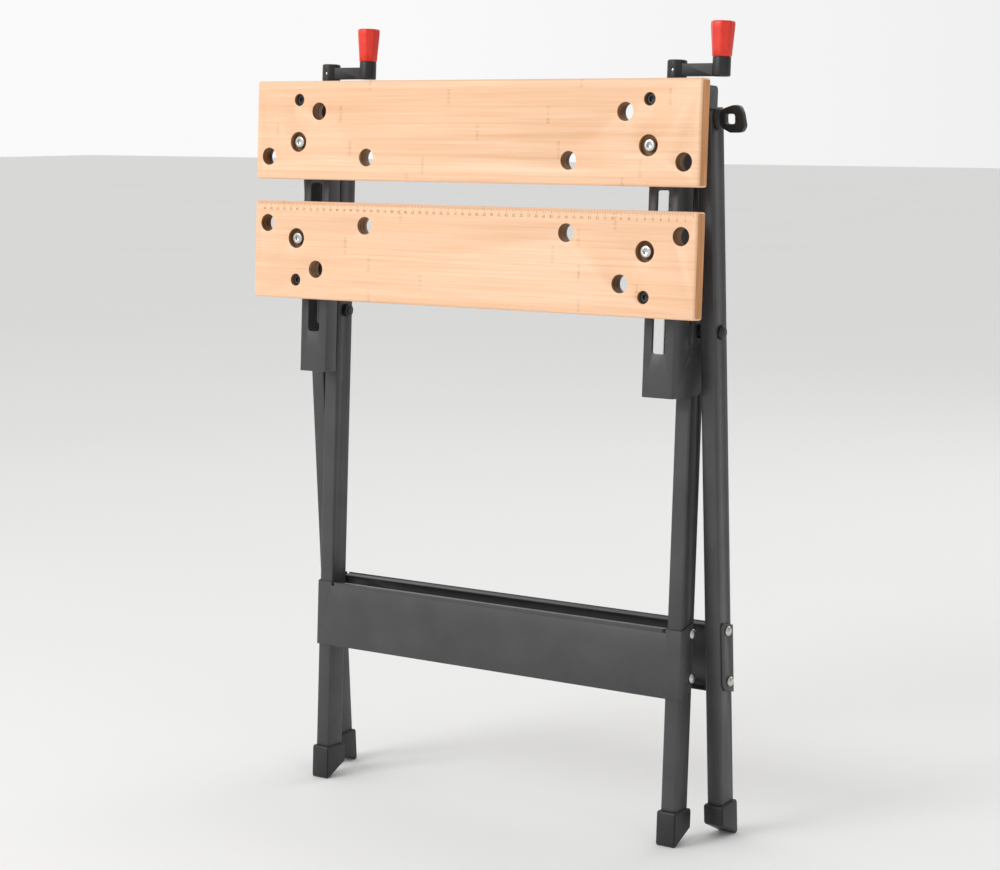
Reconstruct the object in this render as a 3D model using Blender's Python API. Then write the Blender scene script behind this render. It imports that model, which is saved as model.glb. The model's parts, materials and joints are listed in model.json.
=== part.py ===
"""Folding sawhorse with a clamping top, folded flat and standing on its four feet.

Metres, +Z up, +X along the jaws. Each moving group hangs from an empty on its joint axis:
the legs from the scissor pivot, the top from its hinge on the inner legs.
In the top's own axes +Z points to the crank end and -Y to the jaws' working faces.
"""
import math

import bmesh
import bpy
from mathutils import Matrix, Vector

MM = 0.001
GAP = 0.3 * MM                      # air left between touching pieces

# Folding geometry
FOLD_LEAN = math.radians(3.0)       # lean of each leg pair when folded
OPEN_LEAN = math.radians(28.5)      # lean of each leg pair when open
HINGE_UP = 204.5 * MM               # scissor pivot to the top's hinge
LOCK_UP = HINGE_UP * math.cos(OPEN_LEAN) / (math.cos(OPEN_LEAN) - math.sin(2 * FOLD_LEAN))
SLOT_Y = -(LOCK_UP - HINGE_UP) * math.cos(OPEN_LEAN)    # slot line, level with the locks when open
LOCK_Z_FOLDED = LOCK_UP * math.cos(2 * FOLD_LEAN) - HINGE_UP
LOCK_Z_OPEN = -(HINGE_UP + LOCK_UP) * math.sin(OPEN_LEAN)
SOLE_DOWN = 569.5 * MM              # scissor pivot to the middle of a foot's sole

# Legs: rectangular tube
LEG_WIDTH = 19 * MM
LEG_DEPTH = 28 * MM
LEG_WALL = 1.4 * MM
LEG_CORNER = 2.5 * MM
INNER_X = 248.0 * MM                # middle of an inner leg
OUTER_X = 275.7 * MM                # middle of an outer leg
LEG_END = 12 * MM                   # leg end beyond its top bolt, plug included
PLUG_CAP = 2.5 * MM
FOOT_WIDTH = 25 * MM
FOOT_DEPTH = 35 * MM
FOOT_TOP = -537.5 * MM
BOLT_R = 4.0 * MM
BORE_R = BOLT_R + GAP

# Cross plates
PLATE_TOP = -333 * MM
PLATE_TALL = 78 * MM
PLATE_T = 1.5 * MM
TAB_DEPTH = 26 * MM
TAB_RISE = 8 * MM
# places (y, z) of the cross plate's bolts, by which way the plate faces
PLATE_BOLTS = {-1: ((6 * MM, -338 * MM), (8 * MM, -388 * MM)),
               1: ((2 * MM, -337 * MM), (5 * MM, -396 * MM))}

# Channels: folded sheet, a web with a short inner and a deep outer flange
CHANNEL_IN = 221 * MM
CHANNEL_OUT = 261 * MM
SHEET = 1.8 * MM
WEB_Y = -58 * MM                    # front face of the web
INNER_FLANGE = 19.5 * MM
CHANNEL_TOP = 64 * MM
CHANNEL_BOTTOM = -277 * MM
FLANGE_REAR = 3 * MM
FLANGE_HEEL = 16 * MM
WEB_SLOT = (232.5 * MM, 249.5 * MM, -229 * MM, -52 * MM)
FLANGE_SLOT_WIDTH = 10 * MM
NOTCH_R = 11.5 * MM

# Jaws
JAW_LENGTH = 610 * MM
JAW_WIDTH = 115 * MM
JAW_T = 18 * MM
JAW_Y = -94 * MM                    # working face of the boards
JAW_TOP = 66.2 * MM
JAW_GAP = 25.5 * MM
BOLT_X = 241 * MM
BOLT_IN = 71.2 * MM                 # bolt line from the jaw's outer edge
COUNTERBORE_R = 11.5 * MM
COUNTERBORE_DEEP = 7 * MM
DOG_R = 10 * MM
DOG_HOLES = ((210.7 * MM, 35.4 * MM), (285.3 * MM, 88.4 * MM), (139.6 * MM, 88.4 * MM))
SMALL_R = 7 * MM
SMALL_HOLE = (240.8 * MM, 22.1 * MM)

# Lead screws and cranks
SCREW_X = 239.4 * MM
SCREW_Y = -37 * MM
SCREW_R = 5 * MM
SCREW_LOW = -232 * MM
HUB_FOOT = 67.5 * MM                # the hub stands on its collar
HUB_LOW = 70.7 * MM                 # level of the arm's underside
HUB_HIGH = 88.9 * MM
HUB_R = 10.8 * MM
ARM_REACH = 55 * MM
ARM_TALL = 14 * MM
ARM_T = 11 * MM
POST_R = 9.9 * MM
POST_HIGH = 91.3 * MM
GRIP_LOW = 91.7 * MM
GRIP_HIGH = 129.5 * MM
GRIP_R_LOW = 10.6 * MM
GRIP_R_HIGH = 13.2 * MM

# Lock knobs
KNOB_BOSS_R = 12 * MM
KNOB_BOSS_T = 6.5 * MM
KNOB_T = 7 * MM

COLOURS = {
    "bamboo": ((0.92, 0.62, 0.37), 0.5, 0.0),
    "steel_black": ((0.075, 0.075, 0.08), 0.45, 0.3),
    "zinc": ((0.72, 0.72, 0.7), 0.3, 1.0),
    "plastic_black": ((0.02, 0.02, 0.021), 0.5, 0.0),
    "grip_red": ((0.72, 0.035, 0.02), 0.4, 0.0),
    "nylon": ((0.05, 0.05, 0.052), 0.55, 0.0),
}


# --- Small helpers -------------------------------------------------------------------------

def clear_scene():
    for obj in list(bpy.data.objects):
        bpy.data.objects.remove(obj, do_unlink=True)


def material(name):
    mat = bpy.data.materials.get(name)
    if mat:
        return mat
    colour, roughness, metallic = COLOURS[name]
    mat = bpy.data.materials.new(name)
    mat.use_nodes = True
    shader = mat.node_tree.nodes["Principled BSDF"]
    shader.inputs["Base Color"].default_value = (*colour, 1.0)
    shader.inputs["Roughness"].default_value = roughness
    shader.inputs["Metallic"].default_value = metallic
    return mat


def empty(name, parent=None, location=(0, 0, 0), lean=0.0):
    """An axis for a moving group, leaning about X."""
    obj = bpy.data.objects.new(name, None)
    bpy.context.collection.objects.link(obj)
    obj.parent = parent
    obj.location = location
    obj.rotation_euler = (lean, 0, 0)
    return obj


def place(flat, along, axis):
    """A point of an outline at a height along the extrusion axis."""
    if axis == "X":
        return Vector((along, flat[0], flat[1]))
    if axis == "Y":
        return Vector((flat[0], along, flat[1]))
    return Vector((flat[0], flat[1], along))


def prism(bm, outline, axis, low, high, taper=1.0):
    """Extrude an outline along an axis. taper scales the high end about the outline's middle."""
    middle = sum((Vector(p) for p in outline), Vector((0, 0))) / len(outline)
    tapered = [middle + (Vector(p) - middle) * taper for p in outline]
    ends = [[bm.verts.new(place(p, at, axis)) for p in points]
            for points, at in ((outline, low), (tapered, high))]
    faces = [bm.faces.new(ends[0]), bm.faces.new(ends[1])]
    for i in range(len(outline)):
        j = (i + 1) % len(outline)
        faces.append(bm.faces.new((ends[0][i], ends[0][j], ends[1][j], ends[1][i])))
    bmesh.ops.recalc_face_normals(bm, faces=faces)


def box(bm, x, y, z):
    prism(bm, [(x[0], y[0]), (x[1], y[0]), (x[1], y[1]), (x[0], y[1])], "Z", *z)


def circle(centre, radius, sides=20):
    turn = 2 * math.pi / sides
    return [(centre[0] + radius * math.cos(turn * i), centre[1] + radius * math.sin(turn * i))
            for i in range(sides)]


def rod(bm, axis, centre, radius, low, high, sides=20):
    prism(bm, circle(centre, radius, sides), axis, low, high)


def turned(bm, axis, centre, profile, sides=20):
    """A solid of revolution: profile lists (height along the axis, radius) between flat ends."""
    rings = [[bm.verts.new(place(p, at, axis)) for p in circle(centre, radius, sides)]
             for at, radius in profile]
    faces = [bm.faces.new(rings[0]), bm.faces.new(rings[-1])]
    for a, b in zip(rings, rings[1:]):
        for i in range(sides):
            j = (i + 1) % sides
            faces.append(bm.faces.new((a[i], a[j], b[j], b[i])))
    bmesh.ops.recalc_face_normals(bm, faces=faces)


def tube(bm, axis, centre, inner, outer, low, high, sides=20):
    """A ring with a through bore."""
    rings = [[bm.verts.new(place(p, at, axis)) for p in circle(centre, radius, sides)]
             for at, radius in ((low, inner), (low, outer), (high, outer), (high, inner))]
    faces = []
    for a, b in zip(rings, rings[1:] + rings[:1]):
        for i in range(sides):
            j = (i + 1) % sides
            faces.append(bm.faces.new((a[i], a[j], b[j], b[i])))
    bmesh.ops.recalc_face_normals(bm, faces=faces)


def rounded(points, radii, steps=4):
    """A closed outline with each corner replaced by an arc of its own radius."""
    outline = []
    for i, point in enumerate(points):
        radius = radii[i] if isinstance(radii, (list, tuple)) else radii
        here = Vector(point)
        if radius <= 0:
            outline.append(tuple(here))
            continue
        back = (Vector(points[i - 1]) - here).normalized()
        ahead = (Vector(points[(i + 1) % len(points)]) - here).normalized()
        half = back.angle(ahead) / 2
        centre = here + (back + ahead).normalized() * radius / math.sin(half)
        start = here + back * radius / math.tan(half) - centre
        sweep = start.angle_signed(here + ahead * radius / math.tan(half) - centre)
        for k in range(steps + 1):
            outline.append(tuple(centre + Matrix.Rotation(-sweep * k / steps, 2) @ start))
    return outline


def rectangle(x, y, radius=0.0, steps=3):
    return rounded([(x[0], y[0]), (x[1], y[0]), (x[1], y[1]), (x[0], y[1])], radius, steps)


def mesh_object(name, build, parent):
    bm = bmesh.new()
    build(bm)
    mesh = bpy.data.meshes.new(name)
    bm.to_mesh(mesh)
    bm.free()
    obj = bpy.data.objects.new(name, mesh)
    bpy.context.collection.objects.link(obj)
    obj.parent = parent
    return obj


def combine(obj, build, operation):
    """A Boolean with a hidden helper solid."""
    helper = mesh_object(operation.lower() + "_" + obj.name, build, obj.parent)
    helper.hide_render = True
    helper.display_type = "WIRE"
    boolean = obj.modifiers.new(operation.lower(), "BOOLEAN")
    boolean.operation = operation
    boolean.solver = "EXACT"
    boolean.use_self = True
    boolean.object = helper


def node(name, finish, build, parent, cut=None, join=None):
    """One named piece of the object."""
    obj = mesh_object(name, build, parent)
    obj.data.materials.append(material(finish))
    if cut:
        combine(obj, cut, "DIFFERENCE")
    if join:
        combine(obj, join, "UNION")
    obj.data.shade_smooth()
    obj.data.set_sharp_from_angle(angle=math.radians(35))
    return obj


def sides_of(name):
    """Each side's sign and node name."""
    return ((-1, name + "_left"), (1, name + "_right"))


def span(side, low, high):
    """An X range on one side, in rising order."""
    return sorted((side * low, side * high))


# --- Legs ----------------------------------------------------------------------------------

def leg(name, parent, x, top, bore_heights):
    """A rectangular tube with a bore through both walls at each height."""
    def section(bm, shrink, low, high, corner):
        half_x, half_y = LEG_WIDTH / 2 - shrink, LEG_DEPTH / 2 - shrink
        prism(bm, rectangle((x - half_x, x + half_x), (-half_y, half_y), corner), "Z", low, high)

    def bores(bm):
        section(bm, LEG_WALL, bottom - MM, top + MM, LEG_CORNER - LEG_WALL)
        for height in bore_heights:
            rod(bm, "X", (0, height), BORE_R, x - LEG_WIDTH, x + LEG_WIDTH, 16)

    bottom = -SOLE_DOWN + 16 * MM
    node(name, "steel_black", lambda bm: section(bm, 0, bottom, top, LEG_CORNER), parent, cut=bores)


def plug(name, parent, x, top):
    """Moulded cap with a short peg inside the tube's end."""
    half_x, half_y = LEG_WIDTH / 2, LEG_DEPTH / 2
    inset = LEG_WALL + GAP
    base = top - PLUG_CAP + GAP

    def cap(bm):
        prism(bm, rectangle((x - half_x, x + half_x), (-half_y, half_y), LEG_CORNER),
              "Z", base, top, 0.94)

    def peg(bm):
        prism(bm, rectangle((x - half_x + inset, x + half_x - inset),
                            (-half_y + inset, half_y - inset), MM), "Z", top - 6.5 * MM, base + MM)
    node(name, "plastic_black", cap, parent, join=peg)


def foot(name, parent, x, facing):
    """Moulded foot whose slanted sole lies flat on the floor when the legs are open."""
    slope = math.tan(OPEN_LEAN)
    half = FOOT_DEPTH / 2
    low_y = facing * half

    def build(bm):
        side = rounded([(low_y, FOOT_TOP), (-low_y, FOOT_TOP), (-low_y, -SOLE_DOWN + half * slope),
                        (low_y, -SOLE_DOWN - half * slope)], 2.5 * MM, 3)
        prism(bm, side, "X", x - FOOT_WIDTH / 2, x + FOOT_WIDTH / 2)
        ends = [e for e in bm.edges if abs(e.verts[0].co.x - e.verts[1].co.x) < 1e-6]
        bmesh.ops.bevel(bm, geom=ends, offset=1.5 * MM, segments=2, affect="EDGES")

    def socket(bm):
        half_x, half_y = LEG_WIDTH / 2 + GAP, LEG_DEPTH / 2 + GAP
        prism(bm, rectangle((x - half_x, x + half_x), (-half_y, half_y), LEG_CORNER),
              "Z", -SOLE_DOWN + 15.5 * MM, FOOT_TOP + 5 * MM)
    node(name, "plastic_black", build, parent, cut=socket)


def cross_plate(name, parent, outer_x, facing):
    """Folded plate across a leg pair, with a slanted tab round the outer side of each leg."""
    face = facing * (LEG_DEPTH / 2 + GAP)
    front = face + facing * PLATE_T
    tab_end = front - facing * TAB_DEPTH
    tab_in = outer_x + GAP
    tab_out = tab_in + PLATE_T
    bottom = PLATE_TOP - PLATE_TALL

    def build(bm):
        corners = [(-tab_out, tab_end), (-tab_out, front), (tab_out, front), (tab_out, tab_end),
                   (tab_in, tab_end), (tab_in, face), (-tab_in, face), (-tab_in, tab_end)]
        bend = 2 * MM
        outline = rounded(corners, (0, bend, bend, 0, 0, bend - PLATE_T, bend - PLATE_T, 0), 3)
        prism(bm, outline, "Z", bottom, PLATE_TOP + TAB_RISE)

    def trims(bm):
        wide = tab_out + 5 * MM
        past = front + facing * MM
        beyond = tab_end - facing * MM
        for level, away in ((PLATE_TOP, 40 * MM), (bottom, -40 * MM)):
            prism(bm, [(past, level), (beyond, level + TAB_RISE), (beyond, level + away),
                       (past, level + away)], "X", -wide, wide)
        for side in (-1, 1):
            for level, up in ((PLATE_TOP + TAB_RISE, 1), (bottom + TAB_RISE, -1)):
                corner = [(beyond, level + up * MM), (beyond, level - up * 6 * MM),
                          (tab_end + facing * 5 * MM, level + up * MM)]
                prism(bm, corner, "X", *span(side, outer_x - MM, wide))
            x = side * (outer_x - LEG_WIDTH - 2.5 * MM)
            box(bm, (x - 2 * MM, x + 2 * MM), sorted((face - facing * MM, past)),
                (PLATE_TOP - 4 * MM, PLATE_TOP + 6 * MM))
            for bolt in PLATE_BOLTS[facing]:
                rod(bm, "X", bolt, BORE_R, *span(side, tab_in - MM, tab_out + MM), 16)

    def lips(bm):
        reach = outer_x - LEG_WIDTH - 5.5 * MM
        depth = sorted((front - facing * 0.4 * MM, front - facing * 13 * MM))
        for level in (PLATE_TOP - 1.7 * MM, bottom + 0.4 * MM):
            box(bm, (-reach, reach), depth, (level, level + 1.3 * MM))
    node(name, "steel_black", build, parent, cut=trims, join=lips)


def plate_bolts(prefix, parent, outer_x, facing):
    """Domed bolts through the tabs into the legs' outer walls."""
    head = outer_x + 2 * GAP + PLATE_T
    profile = ((outer_x - 8 * MM, BOLT_R - 0.2 * MM), (head, BOLT_R - 0.2 * MM), (head, 5.8 * MM),
               (head + 1.4 * MM, 5.6 * MM), (head + 2.6 * MM, 4.4 * MM), (head + 3.2 * MM, 2.4 * MM))
    for side, name in sides_of(prefix + "_plate_bolt"):
        for level, bolt in zip(("upper", "lower"), PLATE_BOLTS[facing]):
            node(f"{name}_{level}", "zinc",
                 lambda bm: turned(bm, "X", bolt, [(side * x, r) for x, r in profile], 14),
                 parent)


def leg_pair(prefix, parent, x, top, hinge_height, facing):
    outer_x = x + LEG_WIDTH / 2
    for side, name in sides_of(prefix + "_leg"):
        leg(name, parent, side * x, top - PLUG_CAP, (0.0, hinge_height))
        drill_for_plate(bpy.data.objects[name], side, outer_x, facing)
    for side, name in sides_of(prefix + "_leg_plug"):
        plug(name, parent, side * x, top)
    for side, name in sides_of(prefix + "_foot"):
        foot(name, parent, side * x, facing)


def drill_for_plate(obj, side, outer_x, facing):
    """Bores for the cross plate's bolts, in a leg's outer wall only."""
    def bores(bm):
        for bolt in PLATE_BOLTS[facing]:
            rod(bm, "X", bolt, BORE_R, *span(side, outer_x - 4 * MM, outer_x + MM), 16)
    combine(obj, bores, "DIFFERENCE")


# --- Bolts on the joints -------------------------------------------------------------------

def pivot_hardware(parent):
    """Scissor bolts through both legs, with a spacer between them and a nut inside."""
    inner_in = INNER_X - LEG_WIDTH / 2
    inner_out = INNER_X + LEG_WIDTH / 2
    outer_in = OUTER_X - LEG_WIDTH / 2
    head = OUTER_X + LEG_WIDTH / 2 + GAP
    profile = ((inner_in - 7 * MM, BOLT_R - 0.2 * MM), (head, BOLT_R - 0.2 * MM),
               (head, 8 * MM), (head + 3 * MM, 7.6 * MM), (head + 4.4 * MM, 5 * MM))
    for side, name in sides_of("pivot_bolt"):
        node(name, "plastic_black",
             lambda bm: turned(bm, "X", (0, 0), [(side * x, r) for x, r in profile], 20), parent)
    rings = (("pivot_nut", 7.4 * MM, inner_in - 6 * MM, inner_in - GAP),
             ("pivot_spacer", 8 * MM, inner_out + GAP, outer_in - GAP))
    for prefix, radius, low, high in rings:
        for side, name in sides_of(prefix):
            node(name, "nylon",
                 lambda bm: tube(bm, "X", (0, 0), BOLT_R + 0.1 * MM, radius, *span(side, low, high)),
                 parent)


def hinge_pins(top, inner):
    """The top's hinge: a headed pin in each outer flange, facing a stub in each inner leg."""
    split = INNER_X + LEG_WIDTH / 2 + 0.9 * MM
    head = CHANNEL_OUT + GAP
    inside = INNER_X - LEG_WIDTH / 2 - GAP
    pin = ((split + GAP, BOLT_R), (head, BOLT_R), (head, 7 * MM),
           (head + 1.4 * MM, 6.6 * MM), (head + 2.4 * MM, 4 * MM))
    stub = ((inside - 5 * MM, 6 * MM), (inside - 3.5 * MM, 7 * MM), (inside, 7 * MM),
            (inside, BOLT_R), (split, BOLT_R))
    for side, name in sides_of("hinge_pin"):
        node(name, "zinc",
             lambda bm: turned(bm, "X", (0, 0), [(side * x, r) for x, r in pin], 18), top)
    for side, name in sides_of("hinge_stub"):
        node(name, "plastic_black",
             lambda bm: turned(bm, "X", (0, HINGE_UP), [(side * x, r) for x, r in stub], 18), inner)


def lock_hardware(outer, shoes, knobs):
    """Studs through the outer legs, shoes in the flange slots and the knobs that clamp them."""
    leg_in = OUTER_X - LEG_WIDTH / 2
    leg_out = OUTER_X + LEG_WIDTH / 2
    flange_in = CHANNEL_OUT - SHEET
    for side, name in sides_of("lock_stud"):
        profile = ((flange_in - 7 * MM, 6 * MM), (flange_in - 6 * MM, 7 * MM),
                   (flange_in - GAP, 7 * MM), (flange_in - GAP, BOLT_R - 0.2 * MM),
                   (leg_out + 5 * MM, BOLT_R - 0.2 * MM))
        node(name, "zinc",
             lambda bm: turned(bm, "X", (0, LOCK_UP), [(side * x, r) for x, r in profile], 18),
             outer)
    for side, name in sides_of("slot_shoe"):
        shoe(name, shoes, side, flange_in, leg_in)
    for side, name in sides_of("lock_knob"):
        knob(name, knobs[side], side, leg_out + GAP)


def shoe(name, parent, side, flange_in, leg_in):
    """Nylon shoe: a long block in the slot under a wider collar."""
    step = CHANNEL_OUT + GAP

    def collar(bm):
        prism(bm, rectangle((-7.5 * MM, 7.5 * MM), (-10 * MM, 10 * MM), 4 * MM), "X",
              *span(side, step, leg_in - GAP))

    def block(bm):
        half = FLANGE_SLOT_WIDTH / 2 - GAP
        prism(bm, rectangle((-half, half), (-8 * MM, 8 * MM), 3 * MM), "X",
              *span(side, flange_in, step + MM))

    def bore(bm):
        rod(bm, "X", (0, 0), BORE_R, *span(side, flange_in - MM, leg_in + MM), 18)
    obj = node(name, "nylon", collar, parent, join=block)
    combine(obj, bore, "DIFFERENCE")


def knob(name, parent, side, face):
    """Round boss with a flat thumb tab that has a rounded-square eye."""
    def boss(bm):
        turned(bm, "X", (0, 0), [(side * x, r) for x, r in (
            (face, KNOB_BOSS_R), (face + 3 * MM, KNOB_BOSS_R), (face + KNOB_BOSS_T, 9.5 * MM))], 24)

    def tab(bm):
        reach = [(2, -7), (9, -11), (16, -14.5), (30, -14.5), (34, -8),
                 (31.5, 6), (28, 14), (20, 15), (9, 11.5), (2, 8)]
        points = [(side * (face + x * MM), z * MM) for x, z in reach]
        prism(bm, rounded(points, [0, 6 * MM, 6 * MM, 5 * MM, 6 * MM, 9 * MM, 6 * MM, 8 * MM, 6 * MM, 0],
                          3), "Y", -KNOB_T / 2, KNOB_T / 2)

    def holes(bm):
        eye = [(side * (face + x * MM), z * MM) for x, z in
               ((10.5, -5.5), (22.5, -5.5), (22.5, 5.5), (10.5, 5.5))]
        prism(bm, rounded(eye, 2.5 * MM, 3), "Y", -10 * MM, 10 * MM)
        rod(bm, "X", (0, 0), BOLT_R + 0.1 * MM, *span(side, face - MM, face + 5 * MM), 18)
    obj = node(name, "plastic_black", boss, parent, join=tab)
    combine(obj, holes, "DIFFERENCE")


# --- Top -----------------------------------------------------------------------------------

def channel(name, parent, side):
    def build(bm):
        inner_end = WEB_Y + INNER_FLANGE
        corners = [(CHANNEL_IN, inner_end), (CHANNEL_IN, WEB_Y), (CHANNEL_OUT, WEB_Y),
                   (CHANNEL_OUT, FLANGE_HEEL), (CHANNEL_OUT - SHEET, FLANGE_HEEL),
                   (CHANNEL_OUT - SHEET, WEB_Y + SHEET), (CHANNEL_IN + SHEET, WEB_Y + SHEET),
                   (CHANNEL_IN + SHEET, inner_end)]
        bend = 2.4 * MM
        outline = rounded(corners, (0, bend, bend, 0, 0, bend - SHEET, bend - SHEET, 0), 3)
        prism(bm, [(side * x, y) for x, y in outline], "Z", CHANNEL_BOTTOM, CHANNEL_TOP)

    def cuts(bm):
        flange = span(side, CHANNEL_OUT - 6 * MM, CHANNEL_OUT + 4 * MM)
        web = (WEB_Y - 4 * MM, WEB_Y + 6 * MM)
        left, right, low, high = WEB_SLOT
        prism(bm, rectangle(span(side, left, right), (low, high), 4 * MM), "Y", *web)
        half = FLANGE_SLOT_WIDTH / 2
        prism(bm, rectangle((SLOT_Y - half, SLOT_Y + half),
                            (LOCK_Z_OPEN - 13 * MM, LOCK_Z_FOLDED + 9 * MM), 4.5 * MM), "X", *flange)
        prism(bm, flange_rear_outline(), "X", *flange)
        rod(bm, "X", (0, 0), BORE_R, *flange, 18)
        rod(bm, "X", (SLOT_Y, -236 * MM), 2 * MM, *flange, 12)
        rod(bm, "Y", (side * BOLT_X, JAW_TOP - BOLT_IN), BORE_R, *web, 16)
    node(name, "steel_black", build, parent, cut=cuts)


def flange_rear_outline():
    """What is trimmed from the outer flange: behind its straight rear edge and above its heel."""
    far = FLANGE_HEEL + 10 * MM
    corner = 12 * MM
    low_arc = [(FLANGE_REAR - corner + corner * math.sin(a), CHANNEL_BOTTOM + corner - corner * math.cos(a))
               for a in (math.radians(22.5 * k) for k in range(5))]
    mouth = math.acos(FLANGE_REAR / NOTCH_R)
    notch = [(NOTCH_R * math.cos(a), -HINGE_UP + NOTCH_R * math.sin(a))
             for a in (-mouth - (2 * math.pi - 2 * mouth) * k / 12 for k in range(13))]
    heel = 5 * MM
    heel_arc = [(FLANGE_HEEL - heel + heel * math.cos(a), CHANNEL_TOP - heel + heel * math.sin(a))
                for a in (math.radians(22.5 * k) for k in range(5))]
    start = [(low_arc[0][0], CHANNEL_BOTTOM - MM)]
    ramp = [(FLANGE_REAR, -46 * MM), (FLANGE_HEEL, -22 * MM)]
    end = [(heel_arc[-1][0], CHANNEL_TOP + MM), (far, CHANNEL_TOP + MM), (far, CHANNEL_BOTTOM - MM)]
    return start + low_arc + notch + ramp + heel_arc + end


def jaw(name, parent, outer_edge, inward):
    """A board with its bores. inward is -1 or +1, from the outer edge towards the gap."""
    half = JAW_LENGTH / 2
    back = JAW_Y + JAW_T

    def build(bm):
        level = sorted((outer_edge, outer_edge + inward * JAW_WIDTH))
        prism(bm, rectangle((-half, half), level, 3 * MM), "Y", JAW_Y, back)
        rims = [e for e in bm.edges if abs(e.verts[0].co.y - e.verts[1].co.y) < 1e-6]
        bmesh.ops.bevel(bm, geom=rims, offset=1.2 * MM, segments=2, affect="EDGES")

    def holes(bm):
        through = (JAW_Y - 5 * MM, back + 5 * MM)
        for side in (-1, 1):
            for x, depth in DOG_HOLES:
                rod(bm, "Y", (side * x, outer_edge + inward * depth), DOG_R, *through, 28)
            x, depth = SMALL_HOLE
            rod(bm, "Y", (side * x, outer_edge + inward * depth), SMALL_R, *through, 24)
            bolt = (side * BOLT_X, outer_edge + inward * BOLT_IN)
            rod(bm, "Y", bolt, BORE_R, *through, 16)
            rod(bm, "Y", bolt, COUNTERBORE_R, JAW_Y - 5 * MM, JAW_Y + COUNTERBORE_DEEP, 28)
    node(name, "bamboo", build, parent, cut=holes)


def jaw_bolts(prefix, parent, height, tip):
    """Bright bolts whose heads sit in the counterbores, each with a hexagon socket."""
    seat = JAW_Y + COUNTERBORE_DEEP - GAP
    top = seat - 5 * MM
    profile = ((top, 6 * MM), (top + 0.8 * MM, 6.8 * MM), (seat, 6.8 * MM),
               (seat, BOLT_R - 0.2 * MM), (tip, BOLT_R - 0.2 * MM))
    for side, name in sides_of(prefix):
        centre = (side * BOLT_X, height)
        node(name, "zinc", lambda bm: turned(bm, "Y", centre, profile, 18), parent,
             cut=lambda bm: rod(bm, "Y", centre, 3.4 * MM, top - MM, top + 2.8 * MM, 6))


def fixed_jaw_fixings(parent, height):
    """Spacers behind the board, and the bolts and nuts that clamp it to the webs."""
    start = WEB_Y + SHEET + GAP
    for side, name in sides_of("fixed_jaw_spacer"):
        node(name, "plastic_black",
             lambda bm: box(bm, span(side, 225 * MM, 257 * MM),
                            (JAW_Y + JAW_T + GAP, WEB_Y - GAP), (height - 25 * MM, height + 25 * MM)),
             parent,
             cut=lambda bm: rod(bm, "Y", (side * BOLT_X, height), BORE_R, JAW_Y, WEB_Y + 5 * MM, 16))
    jaw_bolts("fixed_jaw_bolt", parent, height, WEB_Y + 10 * MM)
    for side, name in sides_of("fixed_jaw_nut"):
        node(name, "zinc",
             lambda bm: tube(bm, "Y", (side * BOLT_X, height), BOLT_R + 0.1 * MM, 7 * MM,
                             start, start + 6 * MM, 18), parent)


def carriage(name, parent, side, height):
    """Slide block: a front pad under the board, a key in the web slot and a rear nut housing."""
    key = 8 * MM
    rear = -27 * MM

    def pad(bm):
        box(bm, span(side, 225 * MM, 257 * MM), (JAW_Y + JAW_T + GAP, WEB_Y - GAP),
            (height - 22 * MM, height + 22 * MM))

    def key_and_housing(bm):
        box(bm, span(side, BOLT_X - key, BOLT_X + key), (WEB_Y - 3 * MM, WEB_Y + SHEET + 2 * MM),
            (height - 17 * MM, height + 17 * MM))
        box(bm, span(side, 226 * MM, 250.5 * MM), (WEB_Y + SHEET + GAP, rear),
            (height - 20 * MM, height + 20 * MM))

    def bores(bm):
        rod(bm, "Y", (side * BOLT_X, height), BORE_R, JAW_Y, -48 * MM, 16)
        rod(bm, "Z", (side * SCREW_X, SCREW_Y), SCREW_R + 0.2 * MM,
            height - 25 * MM, height + 25 * MM, 20)
    obj = node(name, "plastic_black", pad, parent, join=key_and_housing)
    combine(obj, bores, "DIFFERENCE")


def screw_bearing(name, parent, side):
    """Block that carries the lead screw at the channel's crank end."""
    node(name, "plastic_black",
         lambda bm: prism(bm, rectangle(span(side, CHANNEL_IN + SHEET + GAP, CHANNEL_OUT - SHEET - GAP),
                                        (WEB_Y + SHEET + GAP, -24 * MM), 1.5 * MM), "Z",
                          47 * MM, CHANNEL_TOP - MM),
         parent,
         cut=lambda bm: rod(bm, "Z", (side * SCREW_X, SCREW_Y), SCREW_R + 0.2 * MM,
                            40 * MM, 70 * MM, 20))


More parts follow.
